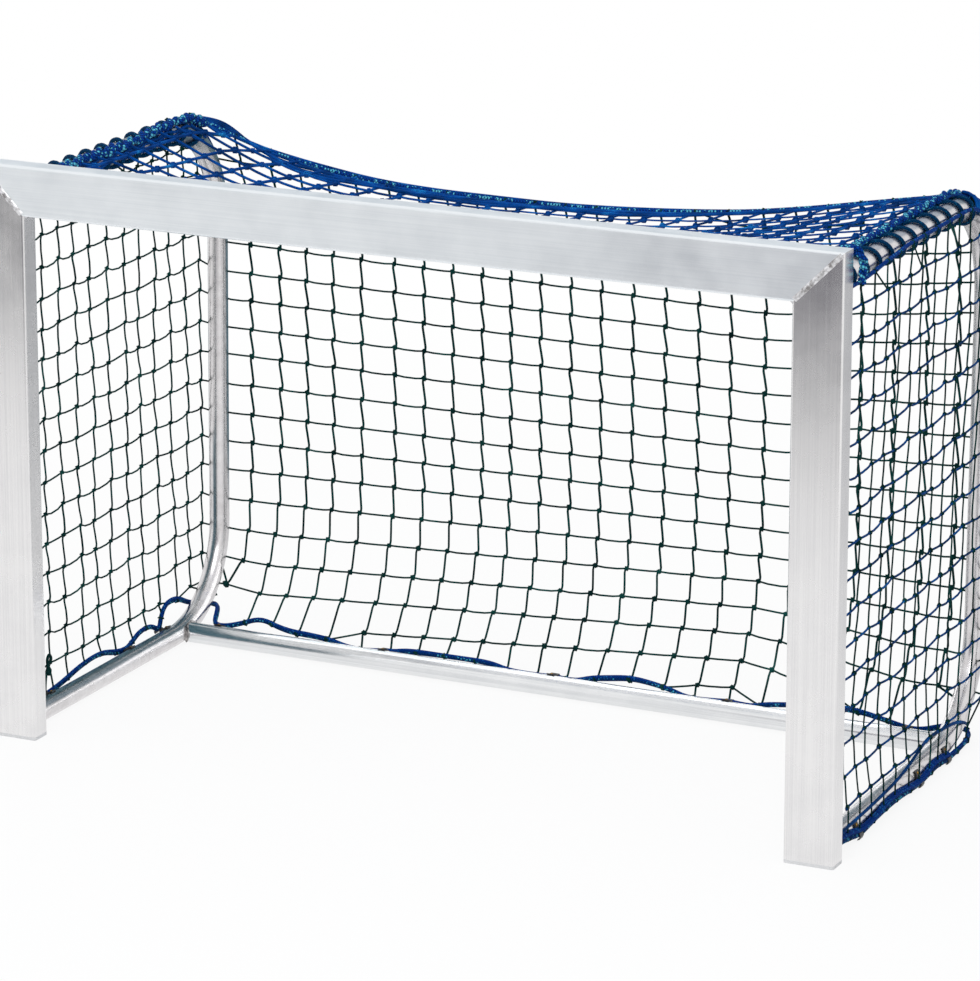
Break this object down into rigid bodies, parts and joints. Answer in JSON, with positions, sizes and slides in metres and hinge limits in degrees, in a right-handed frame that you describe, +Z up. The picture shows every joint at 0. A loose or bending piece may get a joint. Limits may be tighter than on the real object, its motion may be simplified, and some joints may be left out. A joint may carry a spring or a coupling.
{
  "type": "hockey goal net",
  "caption": "Free-standing training goal: mitred rectangular front frame, bent side hoops, rear ground tube and a laced net on its back, sides and top.",
  "frame": {"origin": "middle of the bounding box on the floor plane", "axes": "+X to the goal's right seen from in front, +Y from the mouth to the back net, +Z up"},
  "size_m": [1.35, 0.6802, 0.875],
  "materials": {
    "frame": "mill-finish extruded aluminium",
    "tube": "drawn aluminium tube",
    "weld": "weld bead",
    "cap": "light grey moulded plastic",
    "clip": "black moulded plastic",
    "lacing": "dark braided rope",
    "edge_rope": "blue braided rope",
    "border_rope": "blue braided rope",
    "net": "dark green knotted cord"
  },
  "bodies": {
    "root": {"left_post": "frame", "right_post": "frame", "crossbar": "frame", "left_foot_cap": "cap", "right_foot_cap": "cap", "left_hoop": "tube", "right_hoop": "tube", "rear_ground_tube": "tube", "left_corner_weld": "weld", "right_corner_weld": "weld", "hoop_welds": "weld", "rear_tube_welds": "weld", "top_tube_lacing": "lacing", "left_inner_rope": "edge_rope", "right_inner_rope": "edge_rope", "left_outer_rope": "edge_rope", "right_outer_rope": "edge_rope", "back_top_rope": "edge_rope", "top_front_rope": "edge_rope", "left_front_rope": "edge_rope", "right_front_rope": "edge_rope", "side_ground_clips": "clip", "rear_ground_clips": "clip", "crossbar_clips": "clip", "post_clips": "clip", "border_rope": "border_rope", "back_net": "net", "left_side_net": "net", "right_side_net": "net", "top_net": "net"}
  },
  "joints": []
}
